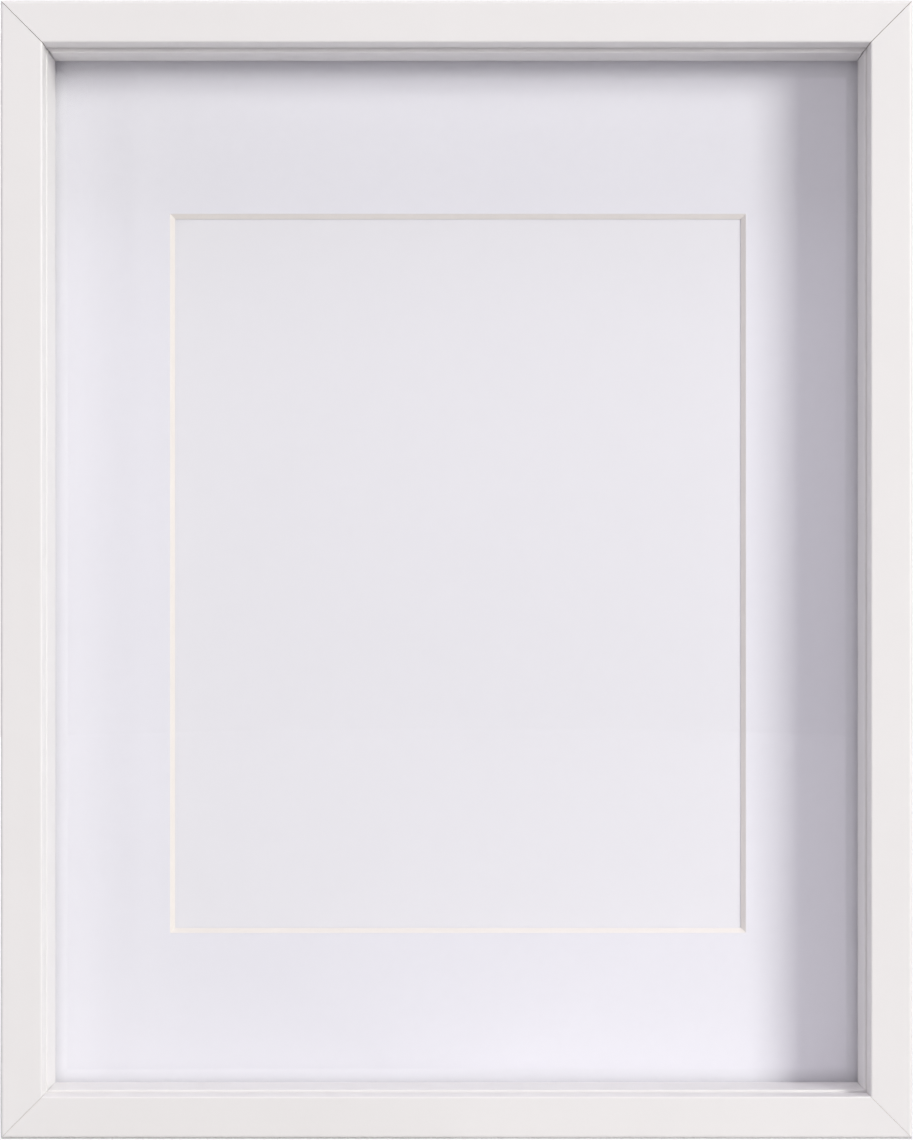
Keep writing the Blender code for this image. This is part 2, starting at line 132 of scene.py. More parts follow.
def spread(tree, factor, low, high):
    """A noise stays near its middle; this stretches it to the range from low to high."""
    node = tree.nodes.new("ShaderNodeMapRange")
    node.inputs["From Min"].default_value = 0.35
    node.inputs["From Max"].default_value = 0.65
    node.inputs["To Min"].default_value = low
    node.inputs["To Max"].default_value = high
    tree.links.new(factor, node.inputs["Value"])
    return node.outputs["Result"]


def combine(tree, operation, first, second):
    node = tree.nodes.new("ShaderNodeMath")
    node.operation = operation
    for socket, value in zip(node.inputs, (first, second)):
        if isinstance(value, bpy.types.NodeSocket):
            tree.links.new(value, socket)
        else:
            socket.default_value = value
    return node.outputs["Value"]


def bump(tree, shader, height, distance):
    node = tree.nodes.new("ShaderNodeBump")
    node.inputs["Distance"].default_value = distance
    tree.links.new(height, node.inputs["Height"])
    tree.links.new(node.outputs["Normal"], shader.inputs["Normal"])


# %% [markdown]
# ### White foil
#
# The mouldings are fibreboard wrapped in a white printed foil. It is satin, so its roughness is
# near 0.4, and it has a very fine pebble that only shows close up. The tone hardly changes.


# %% White foil
def white_foil():
    material, tree, shader = new_material("white_foil", 0.4)
    tone = between(tree, object_noise(tree, 14, 3), (0.836, 0.821, 0.814), (0.850, 0.835, 0.828))
    tree.links.new(tone, shader.inputs["Base Color"])
    tree.links.new(spread(tree, object_noise(tree, 90, 3), 0.36, 0.44), shader.inputs["Roughness"])
    bump(tree, shader, object_noise(tree, 1500, 2), 0.000012)
    return material


FOIL = white_foil()

# %% [markdown]
# ### Board and paper
#
# The raw fibreboard shows only where the foil stops, behind the frame and inside the mitres. The
# mat is lilac-white paper over a cream core, and the core shows in the bevel of the window.
# Papers are matt, so their mirror share is lowered and their roughness is high.


# %% Board, mat and paper
def fibres(name, dark, light, roughness, pitch=900, depth=0.00003):
    """Pressed fibre: short strands in two directions over slow clouds."""
    material, tree, shader = new_material(name, roughness)
    across = object_noise(tree, pitch, 4, stretch=(0.15, 1, 1))
    upwards = object_noise(tree, pitch, 4, stretch=(1, 1, 0.15))
    strands = combine(tree, "MULTIPLY", combine(tree, "ADD", across, upwards), 0.4)
    clouds = combine(tree, "MULTIPLY", object_noise(tree, 40, 3), 0.2)
    grain = combine(tree, "ADD", strands, clouds)
    tree.links.new(between(tree, grain, dark, light, 0.4, 0.6), shader.inputs["Base Color"])
    bump(tree, shader, grain, depth)
    return material


def paper(name, dark, light, grain, depth):
    material, tree, shader = new_material(name, 0.85)
    tone = between(tree, object_noise(tree, grain, 4), dark, light)
    tree.links.new(tone, shader.inputs["Base Color"])
    shader.inputs["Specular IOR Level"].default_value = 0.3
    bump(tree, shader, object_noise(tree, grain * 2, 4), depth)
    return material


RAW_BOARD = fibres("raw_board", (0.43, 0.31, 0.20), (0.55, 0.42, 0.29), 0.85, pitch=1600)
GREY_CARD = fibres("grey_card", (0.36, 0.33, 0.29), (0.46, 0.43, 0.39), 0.9)
MAT_FACE = paper("mat_face", (0.850, 0.836, 0.895), (0.864, 0.850, 0.909), 700, 0.00001)
MAT_CORE = paper("mat_core", (0.86, 0.81, 0.77), (0.89, 0.84, 0.80), 1500, 0.00002)
PLAIN_PAPER = paper("plain_paper", (0.852, 0.838, 0.880), (0.862, 0.848, 0.890), 500, 0.000008)

# %% [markdown]
# ### Clear pane
#
# The pane is glass with a smooth surface. Light from the lamps would be stopped by real glass in
# a path tracer, so rays on their way to a lamp, and rays that a matt surface sends out, meet a
# plain transparent shader instead. The eye's rays meet the glass and its mirror.


# %% Clear pane
def clear_pane():
    material, tree, shader = new_material("clear_pane", 0.0)
    shader.inputs["Base Color"].default_value = (0.985, 0.99, 0.99, 1)
    shader.inputs["Transmission Weight"].default_value = 1.0
    shader.inputs["IOR"].default_value = 1.5
    through = tree.nodes.new("ShaderNodeBsdfTransparent")
    through.inputs["Color"].default_value = (0.985, 0.99, 0.99, 1)
    ray = tree.nodes.new("ShaderNodeLightPath")
    light_ray = combine(tree, "MAXIMUM", ray.outputs["Is Shadow Ray"],
                        ray.outputs["Is Diffuse Ray"])
    mix = tree.nodes.new("ShaderNodeMixShader")
    tree.links.new(light_ray, mix.inputs["Fac"])
    tree.links.new(shader.outputs["BSDF"], mix.inputs[1])
    tree.links.new(through.outputs["BSDF"], mix.inputs[2])
    tree.links.new(mix.outputs["Shader"], tree.nodes["Material Output"].inputs["Surface"])
    return material


CLEAR_PANE = clear_pane()

# %% [markdown]
# ### Hardboard
#
# The back is a hardboard panel with its screen side out: the mesh that the wet fibre was pressed
# on leaves a fine woven print. Two waves at right angles, a millimetre and a half apart, make it.


# %% Hardboard
def hardboard():
    material, tree, shader = new_material("hardboard", 0.62)
    clouds = object_noise(tree, 45, 5)
    specks = object_noise(tree, 1300, 3)
    grain = combine(tree, "ADD", combine(tree, "MULTIPLY", clouds, 0.3),
                    combine(tree, "MULTIPLY", specks, 0.7))
    tone = between(tree, grain, (0.225, 0.130, 0.066), (0.345, 0.215, 0.122), 0.38, 0.62)
    tree.links.new(tone, shader.inputs["Base Color"])
    where = tree.nodes.new("ShaderNodeTexCoord")
    print_height = None
    for turn in (45, -45):
        mapping = tree.nodes.new("ShaderNodeMapping")
        mapping.inputs["Rotation"].default_value = (0, math.radians(turn), 0)
        wave = tree.nodes.new("ShaderNodeTexWave")
        wave.bands_direction = "X"
        wave.inputs["Scale"].default_value = 210
        wave.inputs["Distortion"].default_value = 0.6
        wave.inputs["Detail Scale"].default_value = 3
        tree.links.new(where.outputs["Object"], mapping.inputs["Vector"])
        tree.links.new(mapping.outputs["Vector"], wave.inputs["Vector"])
        height = wave.outputs["Fac"]
        if print_height is not None:
            height = combine(tree, "MULTIPLY", print_height, height)
        print_height = height
    rough = combine(tree, "ADD", print_height, combine(tree, "MULTIPLY", specks, 0.5))
    bump(tree, shader, rough, 0.00012)
    return material


HARDBOARD = hardboard()

# %% [markdown]
# ### Zinc and rubber
#
# The small steel parts are zinc plated: bright grey metal, a little clouded. The pads are dark
# rubber with a dull skin.


# %% Zinc and rubber
def zinc():
    material, tree, shader = new_material("zinc", 0.35, metallic=1.0)
    tone = between(tree, object_noise(tree, 420, 3), (0.55, 0.555, 0.55), (0.69, 0.69, 0.67))
    tree.links.new(tone, shader.inputs["Base Color"])
    tree.links.new(spread(tree, object_noise(tree, 900, 3), 0.27, 0.44), shader.inputs["Roughness"])
    bump(tree, shader, object_noise(tree, 2500, 2), 0.00001)
    return material


def rubber():
    material, tree, shader = new_material("rubber", 0.7)
    tone = between(tree, object_noise(tree, 300, 3), (0.035, 0.035, 0.036), (0.06, 0.06, 0.06))
    tree.links.new(tone, shader.inputs["Base Color"])
    bump(tree, shader, object_noise(tree, 3000, 2), 0.00002)
    return material


ZINC = zinc()
RUBBER = rubber()
print("materials", [m.name for m in bpy.data.materials if m.use_nodes])

# %% [markdown]
# ## Modelling by hand, in code
#
# Each piece starts as a primitive and is shaped in edit mode, as in Blender's window. The packed
# nodes are selected after loading, so everything is deselected first. Faces, edges and points are
# then picked by where they are and which way they point.


# %% Helpers for modelling
def only(piece):
    if bpy.context.object and bpy.context.object.mode != "OBJECT":
        bpy.ops.object.mode_set(mode="OBJECT")
    bpy.ops.object.select_all(action="DESELECT")
    piece.select_set(True)
    bpy.context.view_layer.objects.active = piece


def settle(piece):
    """Puts the piece's place, turn and size into its mesh."""
    only(piece)
    bpy.ops.object.transform_apply(location=True, rotation=True, scale=True)
    return piece


def start_box(name, low, high):
    """A cube that fills the box from low to high."""
    bpy.ops.object.select_all(action="DESELECT")
    low, high = Vector(low), Vector(high)
    bpy.ops.mesh.primitive_cube_add(size=1, location=(low + high) / 2, scale=high - low)
    box = bpy.context.object
    box.name = box.data.name = name
    return settle(box)


def start_round(name, radius, low, high, corners=48):
    """A cylinder on the Z axis from low to high."""
    bpy.ops.object.select_all(action="DESELECT")
    bpy.ops.mesh.primitive_cylinder_add(vertices=corners, radius=radius, depth=high - low,
                                        location=(0, 0, (low + high) / 2))
    drum = bpy.context.object
    drum.name = drum.data.name = name
    return settle(drum)


def shape(piece):
    """Opens the piece in edit mode with nothing selected."""
    only(piece)
    bpy.ops.object.mode_set(mode="EDIT")
    bpy.ops.mesh.select_all(action="DESELECT")


def pick(kind, test):
    """Selects what passes a test of its middle and direction."""
    bpy.ops.mesh.select_all(action="DESELECT")
    bpy.ops.mesh.select_mode(type=kind)
    mesh = bpy.context.edit_object.data
    form = bmesh.from_edit_mesh(mesh)
    for part in {"VERT": form.verts, "EDGE": form.edges, "FACE": form.faces}[kind]:
        if kind == "FACE":
            middle, way = part.calc_center_median(), part.normal
        elif kind == "EDGE":
            start, end = (corner.co for corner in part.verts)
            middle, way = (start + end) / 2, (end - start).normalized()
        else:
            middle, way = part.co, part.normal
        if test(middle, way):
            part.select_set(True)
    form.select_flush_mode()
    bmesh.update_edit_mesh(mesh)


def slice_at(point, normal, clear=False):
    """Cuts the whole piece with a plane; clear takes away what lies on the normal's side."""
    bpy.ops.mesh.select_all(action="SELECT")
    bpy.ops.mesh.bisect(plane_co=point, plane_no=normal, threshold=1e-6,
                        clear_outer=clear, use_fill=clear)


def close(piece):
    """Points all faces outwards and leaves edit mode."""
    bpy.ops.mesh.select_all(action="SELECT")
    bpy.ops.mesh.normals_make_consistent(inside=False)
    bpy.ops.object.mode_set(mode="OBJECT")
    return piece


def apply_modifier(piece, kind, **settings):
    only(piece)
    modifier = piece.modifiers.new(kind.lower(), kind)
    for setting, value in settings.items():
        setattr(modifier, setting, value)
    bpy.ops.object.modifier_apply(modifier=modifier.name)


def soften(piece, width, segments=3, degrees=40):
    """Rounds every edge sharper than an angle."""
    apply_modifier(piece, "BEVEL", width=width, segments=segments, limit_method="ANGLE",
                   angle_limit=math.radians(degrees), use_clamp_overlap=True)


def smooth(piece, degrees=30):
    """Smooth shading on the rounds only; weighted normals keep the wide faces flat."""
    only(piece)
    bpy.ops.object.shade_smooth_by_angle(angle=math.radians(degrees))
    apply_modifier(piece, "WEIGHTED_NORMAL", keep_sharp=True)


def open_edges(piece):
    form = bmesh.new()
    form.from_mesh(piece.data)
    count = sum(1 for edge in form.edges if not edge.is_manifold)
    form.free()
    return count


def stand_in(piece, node, body="root"):
    """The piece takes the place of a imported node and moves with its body."""
    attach(piece, body)
    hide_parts(node)
    print(piece.name, "faces", len(piece.data.polygons), "open edges", open_edges(piece))


def copy_of(master, name, turn=0.0, place=(0, 0, 0)):
    """A copy with its own mesh, turned about the depth axis and put in its place."""
    twin = master.copy()
    twin.data = master.data.copy()
    twin.name = twin.data.name = name
    bpy.context.scene.collection.objects.link(twin)
    twin.rotation_euler = (0, math.radians(turn), 0)
    twin.location = place
    return settle(twin)


# %% [markdown]
# ## The four mouldings
#
# The frame is one L-shaped moulding, sawn at 45 degrees at both ends. A box as thick as the wall
# is the start. The strip in front of the rebate is extruded inwards to make the lip, the arrises
# are bevelled, and each end is sliced off along the mitre. The bottom joints were pressed tighter
# than the top ones, so their gap is smaller. The foil wraps a little way onto the rear, and the
# raw board shows beyond its edge.

# %% One moulding
FACE_RADIUS = 0.0011
LIP_RADIUS = 0.0007
LIP_REAR_RADIUS = 0.0002
REAR_CHAMFER = 0.0004
FOIL_WRAP = 0.0034
FOIL_THICKNESS = 0.00012
FOIL_EDGE = 0.00005
MITRE_GAP = {"top": 0.00016, "bottom": 0.00008}
# The joints that each side's two ends meet, the end at low X of the straight moulding first
END_JOINTS = {
    "bottom": ("bottom", "bottom"),
    "top": ("top", "top"),
    "left": ("top", "bottom"),
    "right": ("bottom", "top"),
}


def round_along_x(y, z, radius, segments):
    pick("EDGE", lambda c, d: abs(d.x) > 0.9 and abs(c.y - y) < 1e-6 and abs(c.z - z) < 1e-6)
    bpy.ops.mesh.bevel(offset=radius, segments=segments, profile=0.5, affect="EDGES")


def paint(piece, index):
    piece.active_material_index = index
    bpy.ops.object.material_slot_assign()


def saw_mitres(half_length, side):
    for end, joint in zip((-1, 1), END_JOINTS[side]):
        sawn = half_length - MITRE_GAP[joint] * math.sqrt(0.5)
        slice_at((end * sawn, 0, 0), (end, 0, 1), clear=True)


def moulding(name, half_length, side):
    """The moulding as the bottom side of the frame, from its outer edge at Z zero inwards."""
    rail = start_box(name, (-half_length, FRONT_Y, 0), (half_length, REAR_Y, RAIL_WALL))
    rail.data.materials.append(FOIL)
    rail.data.materials.append(RAW_BOARD)
    shape(rail)
    slice_at((0, LIP_REAR_Y, 0), (0, 1, 0))
    pick("FACE", lambda c, n: n.z > 0.9 and c.y < LIP_REAR_Y)
    bpy.ops.mesh.extrude_region_move(
        TRANSFORM_OT_translate={"value": (0, 0, FACE_WIDTH - RAIL_WALL)})
    round_along_x(FRONT_Y, 0, FACE_RADIUS, 8)
    round_along_x(FRONT_Y, FACE_WIDTH, LIP_RADIUS, 6)
    round_along_x(LIP_REAR_Y, FACE_WIDTH, LIP_REAR_RADIUS, 2)
    round_along_x(REAR_Y, 0, REAR_CHAMFER, 3)
    round_along_x(REAR_Y, RAIL_WALL, REAR_CHAMFER, 1)
    for step in (0, FOIL_EDGE):
        slice_at((0, 0, FOIL_WRAP + step), (0, 0, 1))
    bare_from = FOIL_WRAP + 0.8 * FOIL_EDGE
    pick("VERT", lambda c, n: c.y > REAR_Y - 1e-6 and c.z > bare_from)
    bpy.ops.transform.translate(value=(0, -FOIL_THICKNESS, 0))
    pick("FACE", lambda c, n: c.y > LIP_REAR_Y + 1e-6 and c.z > bare_from)
    paint(rail, 1)
    saw_mitres(half_length, side)
    pick("FACE", lambda c, n: abs(abs(n.x) - math.sqrt(0.5)) < 0.01)
    paint(rail, 1)
    return close(rail)


# %% Four mouldings in place
# Each side: its turn from the bottom side, half its outer length, and where its outer edge is
SIDES = {
    "bottom": (0, HALF_WIDTH, (0, 0, 0)),
    "top": (180, HALF_WIDTH, (0, 0, OUTER_HEIGHT)),
    "left": (90, MIDDLE_Z, (-HALF_WIDTH, 0, MIDDLE_Z)),
    "right": (-90, MIDDLE_Z, (HALF_WIDTH, 0, MIDDLE_Z)),
}
mouldings = {}
for side, (turn, half_length, place) in SIDES.items():
    straight = moulding("straight", half_length, side)
    mouldings[side] = copy_of(straight, "moulding_" + side, turn, place)
    bpy.data.objects.remove(straight)

# %% [markdown]
# ### Slots and holes in their rear
#
# V-shaped nails join each mitre from behind, one slot across both mouldings, and the screws and
# pins of the hardware stand in holes. A packed V-nail, merged and fattened by the gap, is the
# exact shape of its slot. Cylinders cut the holes.

# %% Cut the slots and holes
SCREW_HOLE_RADIUS = 0.0015
PIN_HOLE_RADIUS = 0.0010
PAST_FACE = 0.001


def cutter_material(cutter):
    """Cut faces take the raw board, the second material of a moulding."""
    cutter.data.materials.clear()
    cutter.data.materials.append(FOIL)
    cutter.data.materials.append(RAW_BOARD)
    for face in cutter.data.polygons:
        face.material_index = 1


def slot_cutter(corner):
    """Both V-nails of a corner stand in one slot, open to the rear."""
    rear_nail, deep_nail = ("v_nail_" + corner + "_" + str(n) for n in (1, 2))
    cutter = bpy.data.objects.new("slot_cutter", cad_nodes[rear_nail].data.copy())
    bpy.context.scene.collection.objects.link(cutter)
    shape(cutter)
    bpy.ops.mesh.select_all(action="SELECT")
    bpy.ops.mesh.remove_doubles(threshold=1e-6)
    bpy.ops.mesh.dissolve_limited(angle_limit=0.01)
    bpy.ops.transform.shrink_fatten(value=GAP, use_even_offset=True)
    pick("FACE", lambda c, n: n.y > 0.9)
    bpy.ops.transform.translate(value=(0, PAST_FACE, 0))
    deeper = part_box(rear_nail)[0][1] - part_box(deep_nail)[0][1]
    pick("FACE", lambda c, n: n.y < -0.9)
    bpy.ops.transform.translate(value=(0, -deeper, 0))
    close(cutter)
    cutter_material(cutter)
    return cutter


def hole_cutter(node, radius):
    """A hole for the screw or pin of that node, open to the rear."""
    low, high = (Vector(corner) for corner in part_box(node))
    middle = (low + high) / 2
    drum = start_round("hole_cutter", radius, low.y - GAP, REAR_Y + PAST_FACE, corners=24)
    drum.rotation_euler = (math.radians(-90), 0, 0)
    drum.location = (middle.x, 0, middle.z)
    settle(drum)
    cutter_material(drum)
    return drum


def cut(piece, cutter):
    apply_modifier(piece, "BOOLEAN", object=cutter, operation="DIFFERENCE", solver="EXACT")


JOINED = {
    "bottom_left": ("bottom", "left"),
    "bottom_right": ("bottom", "right"),
    "top_left": ("top", "left"),
    "top_right": ("top", "right"),
}
for corner, sides in JOINED.items():
    cutter = slot_cutter(corner)
    for side in sides:
        cut(mouldings[side], cutter)
    bpy.data.objects.remove(cutter)
for side in ("left", "right"):
    for number in (1, 2, 3, 4):
        cutter = hole_cutter("button_screw_" + side + "_" + str(number), SCREW_HOLE_RADIUS)
        cut(mouldings[side], cutter)
        bpy.data.objects.remove(cutter)
for side in ("top", "left"):
    for number in (1, 2):
        cutter = hole_cutter("hanger_nail_" + side + "_" + str(number), PIN_HOLE_RADIUS)
        cut(mouldings[side], cutter)
        bpy.data.objects.remove(cutter)
for side, rail in mouldings.items():
    smooth(rail)
    stand_in(rail, "rail_" + side)

# %% [markdown]
# ## The inner strips
#
# Behind the lip a foil-wrapped strip stands on each side and holds the pane at the bottom of the
# recess. The strips are pushed in by hand. The left one stands straight and the others lean a
# little inwards at the front, the top one most. So a narrow front face shows behind the dark
# joint, with a bright arris under it. The strip rests on the pane, and its ends are mitred as the
# mouldings are.

# %% Inner strips
STRIP_REAR_Y = strip_high[1]
STRIP_LEAN = {"bottom": 0.0005, "top": 0.0013, "left": 0.0, "right": 0.0005}
STRIP_INNER_RADIUS = 0.0004
STRIP_OUTER_RADIUS = 0.0002
STRIP_FOOT_RADIUS = 0.0001


def inner_strip(name, half_length, side):
    lean = STRIP_LEAN[side]
    strip = start_box(name, (-half_length, strip_low[1], strip_low[2]),
                      (half_length, STRIP_REAR_Y, strip_high[2]))
    strip.data.materials.append(FOIL)
    shape(strip)
    pick("VERT", lambda c, n: c.y < strip_low[1] + 1e-6)
    bpy.ops.transform.translate(value=(0, 0, lean))
    round_along_x(strip_low[1], strip_high[2] + lean, STRIP_INNER_RADIUS, 5)
    round_along_x(STRIP_REAR_Y, strip_high[2], STRIP_FOOT_RADIUS, 2)
    round_along_x(strip_low[1], strip_low[2] + lean, STRIP_OUTER_RADIUS, 3)
    saw_mitres(half_length, side)
    return close(strip)


for side, (turn, half_length, place) in SIDES.items():
    straight = inner_strip("straight", half_length, side)
    strip = copy_of(straight, "inner_strip_" + side, turn, place)
    bpy.data.objects.remove(straight)
    smooth(strip)
    stand_in(strip, "spacer_" + side)

# %% [markdown]
# ## The pane
#
# The clear pane is pressed between the strips and the mat, and its middle stands out a little.
# That small bow is why the reflection of the walls is widest half way along each side. The box is
# divided both ways, its edges are seamed, and the bow is a curve that dies out at the edges.

# %% Pane
PANE_BOW = 0.0005
PANE_SEAM = 0.0003


def divided_box(name, low, high, cuts):
    """A box whose broad faces are divided both ways."""
    box = start_box(name, low, high)
    shape(box)
    for axis in (0, 2):
        pick("EDGE", lambda c, d: abs(d[axis]) > 0.9)
        bpy.ops.mesh.subdivide(number_cuts=cuts)
    return close(box)


def bow(piece, height):
    """Moves each point forwards by a height that is zero along the piece's edges."""
    half = piece.dimensions / 2
    middle_z = sum(corner[2] for corner in piece.bound_box) / 8
    for point in piece.data.vertices:
        across = min(abs(point.co.x) / half.x, 1)
        upwards = min(abs(point.co.z - middle_z) / half.z, 1)
        point.co.y -= height * (1 - across ** 2) * (1 - upwards ** 2)


pane = divided_box("pane", *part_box("clear_sheet"), 23)
soften(pane, PANE_SEAM, segments=1)
pane.data.materials.append(CLEAR_PANE)
bow(pane, PANE_BOW)
smooth(pane)
stand_in(pane, "clear_sheet")

# %% [markdown]
# ## The window mat
#
# The mat is a sheet with a window cut at 45 degrees, which bares its cream core. Both broad faces
# are inset, each inset is sized and moved to its end of the bevel, and the two are bridged.

# %% Window mat
WINDOW_WIDTH = 0.1922
WINDOW_HEIGHT = 0.2408
WINDOW_RIGHT_OF_MIDDLE = 0.0005


def window_mat():
    low, high = (Vector(corner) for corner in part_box("window_mat"))
    middle, size = (low + high) / 2, high - low
    mat = start_box("mat", low, high)
    mat.data.materials.append(MAT_FACE)
    mat.data.materials.append(MAT_CORE)
    shape(mat)
    inset = 0.02
    for facing, widening in ((-1, size.y), (1, 0)):
        pick("FACE", lambda c, n: n.y * facing > 0.9)
        bpy.ops.mesh.inset(thickness=inset)
        wide = (WINDOW_WIDTH + 2 * widening) / (size.x - 2 * inset)
        high_ratio = (WINDOW_HEIGHT + 2 * widening) / (size.z - 2 * inset)
        bpy.ops.transform.resize(value=(wide, 1, high_ratio), center_override=middle)
        bpy.ops.transform.translate(value=(WINDOW_RIGHT_OF_MIDDLE, 0, 0))
    pick("FACE", lambda c, n: abs(n.y) > 0.9 and abs(c.x - WINDOW_RIGHT_OF_MIDDLE) < 0.001
         and abs(c.z - middle.z) < 0.001)
    bpy.ops.mesh.bridge_edge_loops()
    pick("FACE", lambda c, n: 0.5 < abs(n.y) < 0.9)
    paint(mat, 1)
    return close(mat)


mat = window_mat()
stand_in(mat, "window_mat")

# %% [markdown]
# ## The plain sheet, the card and the hardboard back
#
# Behind the window lies a plain sheet of paper. Paper never lies quite flat, so it gets a bow of
# a tenth of a millimetre. A grey card keeps it flat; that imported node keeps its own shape. The
# hardboard back closes the pack, with its edges eased by sanding.

# %% Plain sheet, card and back
SHEET_BOW = 0.0001
BACK_EDGE = 0.0004

sheet = divided_box("plain_sheet", *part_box("picture_sheet"), 11)
bow(sheet, SHEET_BOW)
sheet.data.materials.append(PLAIN_PAPER)
smooth(sheet)
stand_in(sheet, "picture_sheet")

card = cad_nodes["backing_card"]
card.data.materials.clear()
card.data.materials.append(GREY_CARD)

back = start_box("hardboard_back", *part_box("back_panel"))
soften(back, BACK_EDGE, segments=3)
back.data.materials.append(HARDBOARD)
smooth(back)
stand_in(back, "back_panel")

# %% [markdown]
# ## Turn buttons
#
# A turn button is a pressed steel tab, wide round its screw and narrow at the tip. A circle is
# the start; the half towards the tip is scaled down and moved out, then the outline is extruded,
# drilled and softened. One button is modelled, and eight copies are placed.

# %% One turn button
PIVOT_RADIUS = 0.0042
TIP_RADIUS = 0.0028
button_low, button_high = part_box("turn_button_left_1")
BUTTON_THICKNESS = button_high[1] - button_low[1]
BUTTON_REACH = button_high[0] - button_low[0] - PIVOT_RADIUS
BUTTON_EDGE = 0.0003
# How far a drill reaches below and above a thin sheet of steel
DRILL = (-0.001, 0.003)


def turn_button():
    """The button round the origin, its tip towards +X and its underside at Y zero."""
    bpy.ops.object.select_all(action="DESELECT")
    bpy.ops.mesh.primitive_circle_add(vertices=64, radius=PIVOT_RADIUS, fill_type="NGON",
                                      rotation=(math.radians(90), 0, 0))
    button = settle(bpy.context.object)
    shape(button)
    pick("VERT", lambda c, n: c.x > 1e-5)
    bpy.ops.transform.resize(value=(TIP_RADIUS / PIVOT_RADIUS,) * 3, center_override=(0, 0, 0))
    bpy.ops.transform.translate(value=(BUTTON_REACH - TIP_RADIUS, 0, 0))
    bpy.ops.mesh.select_all(action="SELECT")
    bpy.ops.mesh.extrude_region_move(
        TRANSFORM_OT_translate={"value": (0, BUTTON_THICKNESS, 0)})
    close(button)
    hole = start_round("hole", SCREW_HOLE_RADIUS, *DRILL, corners=32)
    hole.rotation_euler = (math.radians(-90), 0, 0)
    settle(hole)
    cut(button, hole)
    bpy.data.objects.remove(hole)
    soften(button, BUTTON_EDGE, segments=3)
    button.data.materials.clear()
    button.data.materials.append(ZINC)
    smooth(button)
    return button


# %% [markdown]
# ## Screws
#
# Each button turns on a pan-head screw. A short cylinder is the head; its upper edge is bevelled
# wide, its lower face is inset and extruded into the shank, and two tapered boxes cut the cross.

# %% One screw
screw_low, screw_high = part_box("button_screw_left_1")
SCREW_HEAD_RADIUS = (screw_high[0] - screw_low[0]) / 2
SCREW_HEAD_HEIGHT = 0.0015
SCREW_SHANK_RADIUS = 0.0012
SCREW_DOME = 0.0008
SCREW_POINT = 0.0022
POINT_SHARE = 0.08
CROSS_REACH = 0.0015
CROSS_HALF_WIDTH = 0.00038
CROSS_FLOOR = 0.0005
CROSS_TOP = 0.0025
CROSS_TAPER = 0.55


def upright_to_rear(piece):
    """Turns a piece built along +Z so that it points to the rear, along +Y."""
    piece.rotation_euler = (math.radians(-90), 0, 0)
    return settle(piece)


def taper_box(name, low, high, share):
    """A box whose lowest face is scaled to a share of its size."""
    box = start_box(name, low, high)
    shape(box)
    pick("FACE", lambda c, n: n.z < -0.9)
    bpy.ops.transform.resize(value=(share, share, 1), center_override=(0, 0, low[2]))
    return close(box)


def headed_pin(name, head_radius, head_height, dome, shank_radius, shank, point):
    """A round head above Z zero, and a pointed shank below it."""
    pin = start_round(name, head_radius, 0, head_height)
    shape(pin)
    pick("EDGE", lambda c, d: abs(c.z - head_height) < 1e-6)
    bpy.ops.mesh.bevel(offset=dome, segments=5, profile=0.5, affect="EDGES")
    pick("FACE", lambda c, n: n.z < -0.9)
    bpy.ops.mesh.inset(thickness=head_radius - shank_radius)
    bpy.ops.mesh.extrude_region_move(TRANSFORM_OT_translate={"value": (0, 0, point - shank)})
    bpy.ops.mesh.extrude_region_move(TRANSFORM_OT_translate={"value": (0, 0, -point)})
    bpy.ops.transform.resize(value=(POINT_SHARE, POINT_SHARE, 1), center_override=(0, 0, -shank))
    return close(pin)


def pan_screw():
    screw_length = screw_high[1] - screw_low[1] - SCREW_HEAD_HEIGHT
    screw = headed_pin("screw", SCREW_HEAD_RADIUS, SCREW_HEAD_HEIGHT, SCREW_DOME,
                       SCREW_SHANK_RADIUS, screw_length, SCREW_POINT)
    for wide, narrow in ((CROSS_REACH, CROSS_HALF_WIDTH), (CROSS_HALF_WIDTH, CROSS_REACH)):
        blade = taper_box("blade", (-wide, -narrow, CROSS_FLOOR), (wide, narrow, CROSS_TOP),
                          CROSS_TAPER)
        cut(screw, blade)
        bpy.data.objects.remove(blade)
    screw.data.materials.clear()
    screw.data.materials.append(ZINC)
    smooth(screw)
    return upright_to_rear(screw)


# %% Eight buttons and eight screws
button, screw = turn_button(), pan_screw()
DRIVEN_TO = {"left": (12, 71, 38, 55), "right": (64, 20, 83, 5)}
for side, turn in (("left", 0), ("right", 180)):
    for number, driven_to in enumerate(DRIVEN_TO[side], start=1):
        tag = side + "_" + str(number)
        low, high = (Vector(corner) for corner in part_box("button_screw_" + tag))
        middle = (low + high) / 2
        button_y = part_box("turn_button_" + tag)[0][1]
        tab = copy_of(button, "swivel_tab_" + tag, turn, (middle.x, button_y, middle.z))
        stand_in(tab, "turn_button_" + tag, body="turn_button_" + tag)
        head_y = high.y - SCREW_HEAD_HEIGHT
        pivot = copy_of(screw, "pan_screw_" + tag, driven_to, (middle.x, head_y, middle.z))
        stand_in(pivot, "button_screw_" + tag)
bpy.data.objects.remove(button)
bpy.data.objects.remove(screw)

# %% [markdown]
# ## Sawtooth hangers and their pins
#
# A hanger is a strip of thin steel. Its feet lie on the moulding, its middle is raised, and the
# lower edge of the middle is notched so that a wall nail finds a seat. A plane is sliced at every
# fold and every tooth, the points between the teeth are lifted, and the middle is moved out.

# %% One hanger
HANGER_LENGTH = 0.0440
HANGER_HEIGHT = 0.0078
HANGER_THICKNESS = 0.0009
HANGER_RISE = 0.0016
FOOT_END = 0.0145
RAISED_END = 0.0120
TEETH = 9
TOOTH_DEPTH = 0.0016
PIN_FROM_MIDDLE = 0.0184
HANGER_CORNER = 0.00195
HANGER_EDGE = 0.00012


